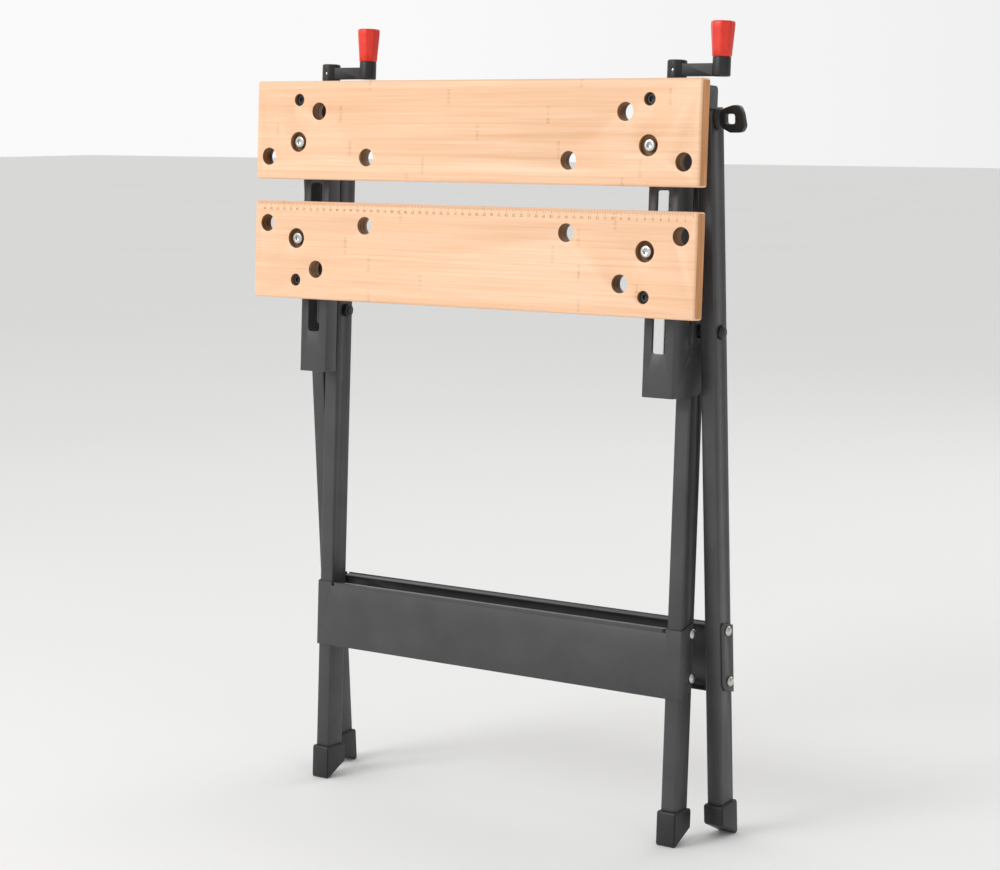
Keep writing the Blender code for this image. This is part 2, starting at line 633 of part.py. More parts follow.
def crank(suffix, parent, grip_parent):
    """Lead screw with its two collars, arm with the grip's spindle, and grip, about the screw."""
    arm_mid = HUB_LOW + ARM_TALL / 2
    collar = 8 * MM

    def screw(bm):
        turned(bm, "Z", (0, 0), ((SCREW_LOW, SCREW_R - MM), (SCREW_LOW + MM, SCREW_R), (41 * MM, SCREW_R),
                                 (41 * MM, collar), (46.7 * MM, collar), (46.7 * MM, SCREW_R),
                                 (63.3 * MM, SCREW_R), (63.3 * MM, collar), (HUB_FOOT - GAP, collar),
                                 (HUB_FOOT - GAP, SCREW_R), (HUB_LOW + 12 * MM, SCREW_R)))

    def hub(bm):
        turned(bm, "Z", (0, 0), ((HUB_FOOT, HUB_R), (HUB_HIGH - 1.2 * MM, HUB_R),
                                 (HUB_HIGH, HUB_R - 1.2 * MM)), 24)

    def bar_and_post(bm):
        box(bm, (5 * MM, ARM_REACH - 3 * MM), (-ARM_T / 2, ARM_T / 2),
            (HUB_LOW + 0.6 * MM, HUB_LOW + ARM_TALL))
        turned(bm, "Z", (ARM_REACH, 0), ((HUB_LOW + 0.2 * MM, POST_R - MM), (HUB_LOW + MM, POST_R),
                                         (POST_HIGH, POST_R), (POST_HIGH, 2.9 * MM),
                                         (GRIP_HIGH - 6 * MM, 2.9 * MM)), 24)

    def bores(bm):
        rod(bm, "Z", (0, 0), SCREW_R + 0.1 * MM, HUB_FOOT - MM, HUB_LOW + 12.4 * MM, 20)
        rod(bm, "Y", (0, arm_mid), 1.8 * MM, -HUB_R - MM, -SCREW_R - 0.8 * MM, 12)

    node("lead_screw_" + suffix, "zinc", screw, parent)
    arm = node("crank_arm_" + suffix, "plastic_black", hub, parent, join=bar_and_post)
    combine(arm, bores, "DIFFERENCE")
    grip("grip_" + suffix, grip_parent)


def grip(name, parent):
    """Tapered grip with eight soft flats."""
    def radius(size, angle):
        off_flat = (angle + math.pi / 8) % (math.pi / 4) - math.pi / 8
        return min(size, 0.965 * size / math.cos(off_flat))

    def build(bm):
        sides = 32
        profile = ((GRIP_LOW, 0.94 * GRIP_R_LOW), (GRIP_LOW + MM, GRIP_R_LOW),
                   (GRIP_HIGH - 7 * MM, GRIP_R_HIGH), (GRIP_HIGH - 2.5 * MM, GRIP_R_HIGH),
                   (GRIP_HIGH - 0.7 * MM, 0.93 * GRIP_R_HIGH), (GRIP_HIGH, 0.84 * GRIP_R_HIGH))
        turn = 2 * math.pi / sides
        rings = [[bm.verts.new((radius(size, turn * i) * math.cos(turn * i),
                                radius(size, turn * i) * math.sin(turn * i), z)) for i in range(sides)]
                 for z, size in profile]
        bm.faces.new(rings[0])
        bm.faces.new(rings[-1])
        for a, b in zip(rings, rings[1:]):
            for i in range(sides):
                j = (i + 1) % sides
                bm.faces.new((a[i], a[j], b[j], b[i]))
        bmesh.ops.recalc_face_normals(bm, faces=list(bm.faces))
    node(name, "grip_red", build, parent,
         cut=lambda bm: rod(bm, "Z", (0, 0), 3.2 * MM, GRIP_LOW - MM, GRIP_HIGH - 5.6 * MM, 14))


# --- Assembly ------------------------------------------------------------------------------

def build_legs(pivot, inner, outer):
    pivot_hardware(pivot)
    leg_pair("inner", inner, INNER_X, HINGE_UP + LEG_END, HINGE_UP, -1)
    leg_pair("outer", outer, OUTER_X, LOCK_UP + LEG_END, LOCK_UP, 1)
    for name, parent, x, facing in (("front", inner, INNER_X, -1), ("rear", outer, OUTER_X, 1)):
        cross_plate(name + "_cross_plate", parent, x + LEG_WIDTH / 2, facing)
        plate_bolts(name, parent, x + LEG_WIDTH / 2, facing)


def build_top(top, moving_jaw):
    for side, name in sides_of("channel"):
        channel(name, top, side)
    for side, name in sides_of("screw_bearing"):
        screw_bearing(name, top, side)
    jaw("fixed_jaw", top, JAW_TOP, -1)
    fixed_jaw_fixings(top, JAW_TOP - BOLT_IN)
    far_edge = JAW_TOP - 2 * JAW_WIDTH - JAW_GAP
    height = far_edge + BOLT_IN
    jaw("moving_jaw", moving_jaw, far_edge, 1)
    jaw_bolts("moving_jaw_bolt", moving_jaw, height, -50 * MM)
    for side, name in sides_of("carriage"):
        carriage(name, moving_jaw, side, height)


def stand_on_origin(root):
    """Move the whole object so that its box stands on the ground, centred on the origin."""
    bpy.context.view_layer.update()
    graph = bpy.context.evaluated_depsgraph_get()
    points = [obj.matrix_world @ v.co for obj in bpy.data.objects
              if obj.type == "MESH" and not obj.hide_render
              for v in obj.evaluated_get(graph).data.vertices]
    middle = (min(p.y for p in points) + max(p.y for p in points)) / 2
    root.location = (0, -middle, -min(p.z for p in points))
    bpy.context.view_layer.update()


def main():
    clear_scene()
    pivot = empty("pivot_axis")
    inner = empty("inner_axis", pivot, lean=-FOLD_LEAN)
    outer = empty("outer_axis", pivot, lean=FOLD_LEAN)
    top = empty("hinge_axis", inner, (0, 0, HINGE_UP))
    shoes = empty("slot_axis", top, (0, SLOT_Y, LOCK_Z_FOLDED))
    moving_jaw = empty("moving_jaw_axis", top)
    knobs = {side: empty(f"knob_axis_{name}", outer, (0, 0, LOCK_UP))
             for side, name in ((-1, "left"), (1, "right"))}
    build_legs(pivot, inner, outer)
    hinge_pins(top, inner)
    lock_hardware(outer, shoes, knobs)
    build_top(top, moving_jaw)
    for side, suffix in ((-1, "left"), (1, "right")):
        axis = empty("screw_axis_" + suffix, top, (side * SCREW_X, SCREW_Y, 0))
        grip_axis = empty("grip_axis_" + suffix, axis, (ARM_REACH, 0, 0))
        crank(suffix, axis, grip_axis)
    stand_on_origin(pivot)


main()
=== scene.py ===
"""Looks for a folding sawhorse: bamboo jaws, powder-coated steel frame, cranks, knobs and feet."""
import json
import math

import bpy
from mathutils import Matrix, Vector


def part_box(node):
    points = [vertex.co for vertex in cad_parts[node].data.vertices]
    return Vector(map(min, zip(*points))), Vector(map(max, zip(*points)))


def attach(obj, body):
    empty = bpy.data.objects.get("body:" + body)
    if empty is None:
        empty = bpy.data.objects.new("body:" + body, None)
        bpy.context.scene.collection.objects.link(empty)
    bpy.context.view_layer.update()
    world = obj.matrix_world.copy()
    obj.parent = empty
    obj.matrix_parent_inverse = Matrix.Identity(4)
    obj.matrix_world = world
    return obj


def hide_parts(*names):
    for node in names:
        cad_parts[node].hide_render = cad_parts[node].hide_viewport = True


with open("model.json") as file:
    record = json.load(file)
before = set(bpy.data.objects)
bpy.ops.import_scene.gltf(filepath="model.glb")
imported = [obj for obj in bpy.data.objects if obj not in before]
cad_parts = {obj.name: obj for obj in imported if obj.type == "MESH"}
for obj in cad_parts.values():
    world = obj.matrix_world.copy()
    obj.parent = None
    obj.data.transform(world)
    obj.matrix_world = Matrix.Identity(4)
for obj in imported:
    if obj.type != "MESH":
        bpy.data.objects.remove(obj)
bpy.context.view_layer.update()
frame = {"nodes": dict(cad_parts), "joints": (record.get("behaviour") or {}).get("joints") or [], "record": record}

bl_info = {
    "name": "Folding Sawhorse Looks",
    "version": (1, 0, 0),
    "blender": (4, 5, 0),
    "location": "View3D > Sidebar > Sawhorse",
    "description": "Finishes the boards, frame, cranks, knobs and feet of a folding sawhorse",
    "category": "Object",
}

MM = 0.001
NODES = frame["nodes"]
BODY_OF = {n: body for body, nodes in frame["record"]["behaviour"]["bodies"].items() for n in nodes}
SLOT_OF = {s["node"]: s["material_slot"] for s in frame["record"]["subparts"]}
MOUNTS = {m["name"]: m for m in frame["record"]["mounts"]}
JOINTS = {j["name"]: j for j in frame["joints"]}
UP = Vector(JOINTS["top_slide"]["axis"])
LEAN = -math.asin(UP.y)             # turn about X from upright to the folded top's lean


# --- Settings ------------------------------------------------------------------------------

class SawhorseSizes(bpy.types.PropertyGroup):
    """Sizes that the details are made to."""
    bore: bpy.props.FloatProperty(name="Dog bore", description="Diameter of a dog bore",
                                  default=20 * MM, unit="LENGTH")
    small_bore: bpy.props.FloatProperty(name="Small bore", description="Diameter of a small bore",
                                        default=14 * MM, unit="LENGTH")
    edge_round: bpy.props.FloatProperty(name="Board edge", description="Rounding of a board's edges",
                                        default=1.3 * MM, unit="LENGTH")
    strip: bpy.props.FloatProperty(name="Bamboo strip", description="Height of one glued strip",
                                   default=19 * MM, unit="LENGTH")
    steel_edge: bpy.props.FloatProperty(name="Steel edge", description="Softening of coated edges",
                                        default=0.35 * MM, unit="LENGTH")
    moulded_edge: bpy.props.FloatProperty(name="Moulded edge", description="Rounding of moulded edges",
                                          default=0.8 * MM, unit="LENGTH")
    thread_pitch: bpy.props.FloatProperty(name="Thread pitch", description="Drawn lead screw pitch",
                                          default=2.5 * MM, unit="LENGTH")


def colour_setting(label, about, value):
    """A colour kept as an sRGB hex text."""
    return bpy.props.StringProperty(name=label, description=about, default=value)


class SawhorseColours(bpy.types.PropertyGroup):
    """Colours of the finishes, as sRGB hex values."""
    bamboo_light: colour_setting("Bamboo light", "Palest bamboo fibres", "F9D0AC")
    bamboo_warm: colour_setting("Bamboo warm", "Common bamboo tone", "F2BE94")
    bamboo_dark: colour_setting("Bamboo dark", "Knuckles and glue lines", "CB8C55")
    bamboo_end: colour_setting("Bamboo end grain", "Cut ends of the strips", "E3A06A")
    # The bores' two colours are painted shade: the drilled walls and the seats' floors are drawn darker than the
    # sawn ends, as if shadowed, and the darker tone goes into their pores and bands.
    bamboo_bore: colour_setting("Bamboo bore", "Drilled walls of the bores", "A87A4E")
    bamboo_burn: colour_setting("Bamboo bore deep shade", "Darker drilled grain", "6E4A28")
    ink: colour_setting("Ruler ink", "Burnt ruler marks", "6B3E1E")
    coat: colour_setting("Powder coat", "Charcoal powder coat", "4A4A4C")
    moulding: colour_setting("Black moulding", "Black moulded plastic", "1E1E20")
    grip: colour_setting("Grip red", "Red moulded grips", "DE2E1B")
    zinc: colour_setting("Zinc", "Bright zinc plate", "CFCFCB")


def sizes():
    return bpy.context.scene.sawhorse_sizes


def colours():
    return bpy.context.scene.sawhorse_colours


# --- Materials -----------------------------------------------------------------------------

def linear(text):
    """An sRGB hex value as a linear colour with alpha."""
    parts = [int(text[i:i + 2], 16) / 255 for i in (0, 2, 4)]
    return tuple(p / 12.92 if p <= 0.04045 else ((p + 0.055) / 1.055) ** 2.4 for p in parts) + (1.0,)


def add(tree, kind, inputs=None, **settings):
    """Add a node with its settings, and its inputs as values or links."""
    made = tree.nodes.new("ShaderNode" + kind)
    for key, value in settings.items():
        setattr(made, key, value)
    for key, value in (inputs or {}).items():
        if isinstance(value, bpy.types.NodeSocket):
            tree.links.new(value, made.inputs[key])
        else:
            made.inputs[key].default_value = value
    return made


def new_material(name):
    """A material with its tree, its shader and an Object coordinate."""
    mat = bpy.data.materials.new(name)
    mat.use_nodes = True
    tree = mat.node_tree
    return mat, tree, tree.nodes["Principled BSDF"], add(tree, "TexCoord").outputs["Object"]


def ramp(tree, factor, low, high):
    """The factor stretched from low..high to 0..1."""
    return add(tree, "MapRange", {"Value": factor, "From Min": low, "From Max": high}).outputs[0]


def spread(tree, factor, low, high):
    """The factor's 0..1 spread over low..high."""
    return add(tree, "MapRange", {"Value": factor, "To Min": low, "To Max": high}).outputs[0]


def bump(tree, shader, height, strength, distance):
    made = add(tree, "Bump", {"Height": height, "Strength": strength, "Distance": distance})
    tree.links.new(made.outputs[0], shader.inputs["Normal"])


def maths(tree, operation, a, b=0.0):
    return add(tree, "Math", {0: a, 1: b}, operation=operation).outputs[0]


def mix(tree, factor, a, b):
    """The colour a, going to b as the factor goes to 1."""
    return add(tree, "Mix", {0: factor, 6: a, 7: b}, data_type="RGBA").outputs[2]


def noise(tree, vector, per_metre, detail=3.0):
    """Noise with so many cells to the metre."""
    return add(tree, "TexNoise", {"Vector": vector, "Scale": per_metre, "Detail": detail}).outputs[0]


def stretched(tree, vector, scale):
    """Coordinates scaled along each axis, so that unit noise has that many cells to the metre."""
    return add(tree, "Mapping", {"Vector": vector, "Scale": scale}).outputs[0]


def upright(tree, vector):
    """Coordinates turned so that the boards' strips lie level."""
    return add(tree, "Mapping", {"Vector": vector, "Rotation": (-LEAN, 0, 0)}).outputs[0]


KNUCKLE_SPACING = 290 * MM


def bamboo_face():
    """Laminated bamboo, planed and lacquered: glued strips of slightly different tone, fine fibres
    along the board and a dark line at each knuckle, under a satin lacquer."""
    mat, tree, shader, where = new_material("laminated_bamboo_lacquered")
    tint = colours()
    board = upright(tree, where)
    axes = add(tree, "SeparateXYZ", {0: board}).outputs
    rows = maths(tree, "DIVIDE", axes["Z"], sizes().strip)
    row = maths(tree, "FLOOR", rows)
    chance = add(tree, "TexWhiteNoise", {"W": row}, noise_dimensions="1D").outputs["Value"]
    # fibres are drawn 2.4 mm high, several real ones together, so that they show
    fibre = noise(tree, stretched(tree, board, (9, 420, 420)), 1.0, 4.0)
    streak = noise(tree, stretched(tree, board, (2.2, 90, 90)), 1.0, 3.0)
    cloud = noise(tree, stretched(tree, board, (3, 14, 14)), 1.0, 2.0)
    base = mix(tree, ramp(tree, fibre, 0.3, 0.7), linear(tint.bamboo_light), linear(tint.bamboo_warm))
    base = mix(tree, maths(tree, "MULTIPLY", ramp(tree, streak, 0.5, 0.78), 0.3), base,
               linear(tint.bamboo_dark))
    base = mix(tree, maths(tree, "MULTIPLY", chance, 0.32), base, linear(tint.bamboo_warm))
    base = mix(tree, maths(tree, "MULTIPLY", ramp(tree, cloud, 0.45, 0.7), 0.25), base,
               linear(tint.bamboo_light))
    # one knuckle in each length of a strip, about 5 mm wide, at a place of the strip's own
    lengths = maths(tree, "DIVIDE", axes["X"], KNUCKLE_SPACING)
    along = maths(tree, "ADD", lengths, maths(tree, "MULTIPLY", chance, 7.3))
    off = maths(tree, "ABSOLUTE", maths(tree, "SUBTRACT", maths(tree, "FRACT", along), 0.5))
    knuckle = maths(tree, "MULTIPLY", ramp(tree, off, 0.010, 0.003), ramp(tree, fibre, 0.35, 0.65))
    base = mix(tree, maths(tree, "MULTIPLY", knuckle, 0.42), base, linear(tint.bamboo_dark))
    # the glue line between strips, drawn 0.4 mm wide so that it shows
    seam = maths(tree, "ABSOLUTE", maths(tree, "SUBTRACT", maths(tree, "FRACT", rows), 0.5))
    base = mix(tree, maths(tree, "MULTIPLY", ramp(tree, seam, 0.484, 0.497), 0.3), base,
               linear(tint.bamboo_dark))
    tree.links.new(base, shader.inputs["Base Color"])
    tree.links.new(spread(tree, fibre, 0.36, 0.5), shader.inputs["Roughness"])
    shader.inputs["Coat Weight"].default_value = 0.15
    shader.inputs["Coat Roughness"].default_value = 0.3
    bump(tree, shader, fibre, 0.12, 0.1 * MM)
    return mat


def sawn_bamboo(name, light, dark):
    """Sawn bamboo end grain: dark pores in bands through the thickness, rougher than the faces."""
    mat, tree, shader, where = new_material(name)
    board = upright(tree, where)
    pores = noise(tree, stretched(tree, board, (200, 900, 300)), 1.0, 2.0)
    # plies about 4 mm thick
    bands = noise(tree, stretched(tree, board, (20, 260, 14)), 1.0, 2.0)
    base = mix(tree, ramp(tree, bands, 0.38, 0.62), linear(light), linear(dark))
    base = mix(tree, maths(tree, "MULTIPLY", ramp(tree, pores, 0.5, 0.7), 0.35), base, linear(dark))
    tree.links.new(base, shader.inputs["Base Color"])
    shader.inputs["Roughness"].default_value = 0.6
    bump(tree, shader, pores, 0.25, 0.2 * MM)
    return mat


def ruler_ink():
    """Laser-burnt marks: brown and matt, uneven where the fibres burn less."""
    mat, tree, shader, where = new_material("burnt_ruler_marks")
    patch = noise(tree, where, 900.0, 2.0)
    base = mix(tree, ramp(tree, patch, 0.3, 0.8), linear(colours().ink), linear(colours().bamboo_dark))
    tree.links.new(base, shader.inputs["Base Color"])
    shader.inputs["Roughness"].default_value = 0.7
    return mat


def powder_coat():
    """Steel with satin charcoal powder coat: an even grey with the coat's fine orange peel."""
    mat, tree, shader, where = new_material("steel_powder_coat_charcoal")
    coat = linear(colours().coat)
    shade = tuple(c * 0.78 for c in coat[:3]) + (1.0,)
    # the peel is about 1.2 mm across
    peel = noise(tree, where, 850.0, 2.0)
    patch = noise(tree, where, 22.0, 3.0)
    base = mix(tree, ramp(tree, patch, 0.3, 0.7), coat, shade)
    tree.links.new(base, shader.inputs["Base Color"])
    tree.links.new(spread(tree, patch, 0.34, 0.46), shader.inputs["Roughness"])
    shader.inputs["Metallic"].default_value = 0.25
    bump(tree, shader, peel, 0.16, 0.15 * MM)
    return mat


def moulded(name, colour, roughness, grain, depth):
    """Injection-moulded plastic: even colour with the fine spark texture of its mould, whose grain
    and depth are in metres."""
    mat, tree, shader, where = new_material(name)
    tone = linear(colour)
    worn = tuple(min(1.0, c * 1.25 + 0.004) for c in tone[:3]) + (1.0,)
    grain = noise(tree, where, 1 / grain, 2.0)
    patch = noise(tree, where, 45.0, 3.0)
    tree.links.new(mix(tree, ramp(tree, patch, 0.35, 0.75), tone, worn), shader.inputs["Base Color"])
    tree.links.new(spread(tree, patch, roughness - 0.05, roughness + 0.08),
                   shader.inputs["Roughness"])
    bump(tree, shader, grain, 0.2, depth)
    return mat


def zinc_plate():
    """Steel fasteners with bright zinc plate: a clean metal with fine turning marks."""
    mat, tree, shader, where = new_material("steel_zinc_plated")
    bright = linear(colours().zinc)
    dull = tuple(c * 0.72 for c in bright[:3]) + (1.0,)
    mark = noise(tree, stretched(tree, where, (300, 1600, 1600)), 1.0, 2.0)
    tree.links.new(mix(tree, ramp(tree, mark, 0.4, 0.75), bright, dull), shader.inputs["Base Color"])
    tree.links.new(spread(tree, mark, 0.2, 0.36), shader.inputs["Roughness"])
    shader.inputs["Metallic"].default_value = 1.0
    bump(tree, shader, mark, 0.08, 0.05 * MM)
    return mat


def make_finishes():
    tint = colours()
    return {
        "bamboo": bamboo_face(),
        "bamboo_end": sawn_bamboo("laminated_bamboo_end_grain", tint.bamboo_end, tint.bamboo_dark),
        # the drilled walls get darker colours than the sawn ends: painted shade inside the bores and seats
        "bamboo_bore": sawn_bamboo("laminated_bamboo_drilled_painted_shade", tint.bamboo_bore, tint.bamboo_burn),
        "ink": ruler_ink(),
        "steel_black": powder_coat(),
        "plastic_black": moulded("polypropylene_black", tint.moulding, 0.42, 0.45 * MM, 0.08 * MM),
        "nylon": moulded("nylon_black", tint.moulding, 0.5, 0.6 * MM, 0.06 * MM),
        "grip_red": moulded("polypropylene_red", tint.grip, 0.34, 0.5 * MM, 0.05 * MM),
        "zinc": zinc_plate(),
    }


FINISHES = {}


def finish(name):
    if not FINISHES:
        FINISHES.update(make_finishes())
    return FINISHES[name]


# --- Modelling helpers ---------------------------------------------------------------------

def only(obj):
    """Select and activate just this object."""
    bpy.ops.object.select_all(action="DESELECT")
    obj.select_set(True)
    bpy.context.view_layer.objects.active = obj


def added(name):
    """The object that the last operator made, renamed."""
    obj = bpy.context.object
    obj.name = obj.data.name = name
    return obj


def apply_modifier(obj, kind, **settings):
    only(obj)
    modifier = obj.modifiers.new(kind.lower(), kind)
    for key, value in settings.items():
        setattr(modifier, key, value)
    bpy.ops.object.modifier_apply(modifier=modifier.name)


def cylinder(name, radius, depth, at, turn=(0, 0, 0), sides=48):
    bpy.ops.object.select_all(action="DESELECT")
    bpy.ops.mesh.primitive_cylinder_add(vertices=sides, radius=radius, depth=depth, location=at,
                                        rotation=turn)
    return added(name)


def cut(obj, tool):
    """Take a tool's shape out of a piece, and the tool away."""
    apply_modifier(obj, "BOOLEAN", operation="DIFFERENCE", solver="EXACT", object=tool)
    bpy.data.objects.remove(tool, do_unlink=True)


def settle(obj, matrix):
    """Apply a place, so that the object itself is at the origin."""
    only(obj)
    obj.matrix_world = matrix @ obj.matrix_world
    bpy.ops.object.transform_apply(location=True, rotation=True, scale=True)


def join(name, parts):
    bpy.ops.object.select_all(action="DESELECT")
    for part in parts:
        part.select_set(True)
    bpy.context.view_layer.objects.active = parts[0]
    bpy.ops.object.join()
    return added(name)


def smooth(obj, degrees=32):
    only(obj)
    bpy.ops.object.shade_smooth_by_angle(angle=math.radians(degrees))


def hand_over(obj, node, finished=False):
    """Give a piece its body and, if it has none yet, its finish, and hide the CAD node that it stands for."""
    slot = SLOT_OF[node]
    if not finished:
        obj.data.materials.clear()
        obj.data.materials.append(finish(slot))
    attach(obj, BODY_OF[node])
    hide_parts(node)


def hand_extra(obj, body, slot):
    """Give a piece that no CAD node matches its finish and its body."""
    obj.data.materials.append(finish(slot))
    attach(obj, body)


def softened(node, width, segments=2):
    """A copy of a node with its facets merged and its sharp edges rounded, as coat or mould leaves them."""
    mesh = NODES[node].data.copy()
    obj = bpy.data.objects.new(node + "_finished", mesh)
    bpy.context.scene.collection.objects.link(obj)
    only(obj)
    bpy.ops.object.mode_set(mode="EDIT")
    bpy.ops.mesh.select_all(action="SELECT")
    bpy.ops.mesh.remove_doubles(threshold=0.00002)
    bpy.ops.mesh.dissolve_limited(angle_limit=math.radians(0.6))
    bpy.ops.object.mode_set(mode="OBJECT")
    apply_modifier(obj, "BEVEL", width=width, segments=segments, limit_method="ANGLE",
                   angle_limit=math.radians(38), use_clamp_overlap=True, miter_outer="MITER_ARC")
    smooth(obj)
    hand_over(obj, node)
    return obj


def both(*prefixes):
    return [f"{prefix}_{side}" for prefix in prefixes for side in ("left", "right")]


# --- Boards --------------------------------------------------------------------------------

# bores of a board: distance from the middle, and from the board's outer edge
BORES = ((210.7 * MM, 35.4 * MM), (285.3 * MM, 88.4 * MM), (139.6 * MM, 88.4 * MM))
SMALL_BORE = (240.8 * MM, 22.1 * MM)
BOLT_BORE = (241 * MM, 71.2 * MM)
BOLT_HOLE_R = 4.3 * MM
COUNTERBORE_R = 11.5 * MM
COUNTERBORE_DEEP = 7 * MM
JAW_T = 18 * MM
CORNER_R = 3 * MM
BORE_CHAMFER = 0.8 * MM
THROUGH = 3 * JAW_T                 # length of a drill
DRILL_TURN = (math.pi / 2, 0, 0)    # from Z to a board's thickness


def board_place(mount):
    """The matrix of a board: its working face's middle, leaning with the top."""
    return Matrix.Translation(Vector(mount["pos_m"])) @ Matrix.Rotation(LEAN, 4, "X")


def board_size(node):
    low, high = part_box(node)
    tall = (high.z - low.z - JAW_T * abs(math.sin(LEAN))) / math.cos(LEAN)
    return high.x - low.x, tall


def round_corners(obj, radius):
    """Round the four edges that run through a board's thickness."""
    only(obj)
    bpy.ops.object.mode_set(mode="EDIT")
    bpy.ops.mesh.select_all(action="DESELECT")
    bpy.ops.object.mode_set(mode="OBJECT")
    for edge in obj.data.edges:
        a, b = (obj.data.vertices[i].co for i in edge.vertices)
        edge.select = abs(a.y - b.y) > JAW_T / 2
    bpy.ops.object.mode_set(mode="EDIT")
    bpy.ops.mesh.select_mode(type="EDGE")
    bpy.ops.mesh.bevel(offset=radius, segments=4)
    bpy.ops.mesh.select_mode(type="VERT")
    bpy.ops.object.mode_set(mode="OBJECT")


def cap_screw(name, body, mount, x, z):
    """A black socket screw sunk in a small bore."""
    obj = cylinder(name, sizes().small_bore / 2 - 0.3 * MM, 11 * MM, (x, 9.5 * MM, z), DRILL_TURN, 40)
    cut(obj, cylinder("socket", 3.2 * MM, 6 * MM, (x, 4 * MM, z), DRILL_TURN, 6))
    apply_modifier(obj, "BEVEL", width=0.5 * MM, segments=2, limit_method="ANGLE",
                   angle_limit=math.radians(50))
    smooth(obj)
    settle(obj, board_place(MOUNTS[mount]))
    hand_extra(obj, body, "plastic_black")


def drill(obj, level):
    """Bores through a board and seats for its bolts' heads. level gives a height from a depth."""
    bolt_x, bolt_depth = BOLT_BORE
    through = [(x, depth, sizes().bore / 2, 48) for x, depth in BORES]
    through += [(*SMALL_BORE, sizes().small_bore / 2, 48), (*BOLT_BORE, BOLT_HOLE_R, 32)]
    drills = [cylinder("bore", radius, THROUGH, (side * x, 0, level(depth)), DRILL_TURN, sides)
              for side in (-1, 1) for x, depth, radius, sides in through]
    cut(obj, join("bores", drills))
    seats = [cylinder("seat", COUNTERBORE_R, 2 * COUNTERBORE_DEEP,
                      (side * bolt_x, 0, level(bolt_depth)), DRILL_TURN) for side in (-1, 1)]
    cut(obj, join("seats", seats))


def finish_board(obj, length, tall):
    """Planed faces, sawn ends and drilled walls each get their own bamboo; the drilled walls and the seats' floors
    get one darkened with painted shade.
    """
    for name in ("bamboo", "bamboo_end", "bamboo_bore"):
        obj.data.materials.append(finish(name))
    for face in obj.data.polygons:
        x, y, z = face.center
        at_end = abs(x) > length / 2 - 0.2 * MM and abs(face.normal.x) > 0.9
        inside = abs(x) < length / 2 - 4 * MM and abs(z) < tall / 2 - 4 * MM
        # faces inside the bores and seats, which get the bamboo with painted shade
        drilled = inside and (abs(face.normal.y) < 0.5 or 2 * MM < y < JAW_T - 2 * MM)
        face.material_index = 1 if at_end else 2 if drilled else 0


def board(node, mount, outward):
    """A board with rounded edges, bores with a small chamfer, and two counterbored bolt holes.
    outward is +1 where the outer edge is up, or -1."""
    length, tall = board_size(node)
    bpy.ops.object.select_all(action="DESELECT")
    bpy.ops.mesh.primitive_cube_add(size=1, location=(0, JAW_T / 2, 0), scale=(length, JAW_T, tall))
    obj = added(node + "_bamboo")
    bpy.ops.object.transform_apply(location=True, rotation=True, scale=True)
    round_corners(obj, CORNER_R)
    apply_modifier(obj, "BEVEL", width=sizes().edge_round, segments=3, limit_method="ANGLE",
                   angle_limit=math.radians(40))

    def level(depth):
        return outward * (tall / 2 - depth)

    drill(obj, level)
    apply_modifier(obj, "BEVEL", width=BORE_CHAMFER, segments=2, limit_method="ANGLE",
                   angle_limit=math.radians(60), use_clamp_overlap=True)
    smooth(obj, 40)
    finish_board(obj, length, tall)
    settle(obj, board_place(MOUNTS[mount]))
    hand_over(obj, node, finished=True)
    screw_x, depth = SMALL_BORE
    for side, x in (("left", -screw_x), ("right", screw_x)):
        cap_screw(f"{node}_cap_screw_{side}", BODY_OF[node], mount, x, level(depth))


class SAWHORSE_OT_boards(bpy.types.Operator):
    """Make both jaw boards of laminated bamboo"""
    bl_idname = "sawhorse.boards"
    bl_label = "Boards"

    def execute(self, context):
        board("fixed_jaw", "fixed_jaw_working_face", 1)
        board("moving_jaw", "moving_jaw_working_face", -1)
        return {"FINISHED"}


class SAWHORSE_OT_ruler(bpy.types.Operator):
    """Burn a centimetre ruler along the moving board's gap edge"""
    bl_idname = "sawhorse.ruler"
    bl_label = "Ruler"
    # a tick at every second millimetre, so that the ticks show
    tick_step = 2 * MM

    def execute(self, context):
        _, tall = board_size("moving_jaw")
        edge = tall / 2 - 1.6 * MM
        zero = 300 * MM
        marks = [self.tick(zero - k * self.tick_step, edge, k) for k in range(301)]
        numbers = [self.number(k, zero - k * 10 * MM, edge - 7.6 * MM) for k in range(1, 60)]
        obj = join("ruler_marks", marks + numbers)
        obj.data.materials.clear()
        obj.data.materials.append(finish("ink"))
        settle(obj, board_place(MOUNTS["moving_jaw_working_face"]))
        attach(obj, "moving_jaw")
        return {"FINISHED"}

    def tick(self, x, edge, count):
        """A short tick, or a long one at each centimetre."""
        tall = (4.6 if count % 5 == 0 else 2.6) * MM
        bpy.ops.mesh.primitive_cube_add(size=1, location=(x, 0, edge - tall / 2),
                                        scale=(0.32 * MM, 0.08 * MM, tall))
        bpy.ops.object.transform_apply(location=True, rotation=True, scale=True)
        return bpy.context.object

    def number(self, value, x, z):
        """A number that reads from the crank side."""
        bpy.ops.object.text_add(location=(x, -0.03 * MM, z), rotation=(math.pi / 2, math.pi, 0))
        text = bpy.context.object
        text.data.body = str(value)
        text.data.size = 4.4 * MM
        text.data.align_x = "CENTER"
        text.data.align_y = "CENTER"
        text.data.extrude = 0.02 * MM
        text.data.resolution_u = 3
        bpy.ops.object.select_all(action="DESELECT")
        text.select_set(True)
        bpy.ops.object.convert(target="MESH")
        bpy.ops.object.transform_apply(location=True, rotation=True, scale=True)
        return bpy.context.object


# --- Steel ---------------------------------------------------------------------------------

class SAWHORSE_OT_steel(bpy.types.Operator):
    """Finish the legs, cross plates and channels in powder coat"""
    bl_idname = "sawhorse.steel"
    bl_label = "Steel frame"

    def execute(self, context):
        for node in both("inner_leg", "outer_leg", "channel") + ["front_cross_plate", "rear_cross_plate"]:
            softened(node, sizes().steel_edge)
        return {"FINISHED"}


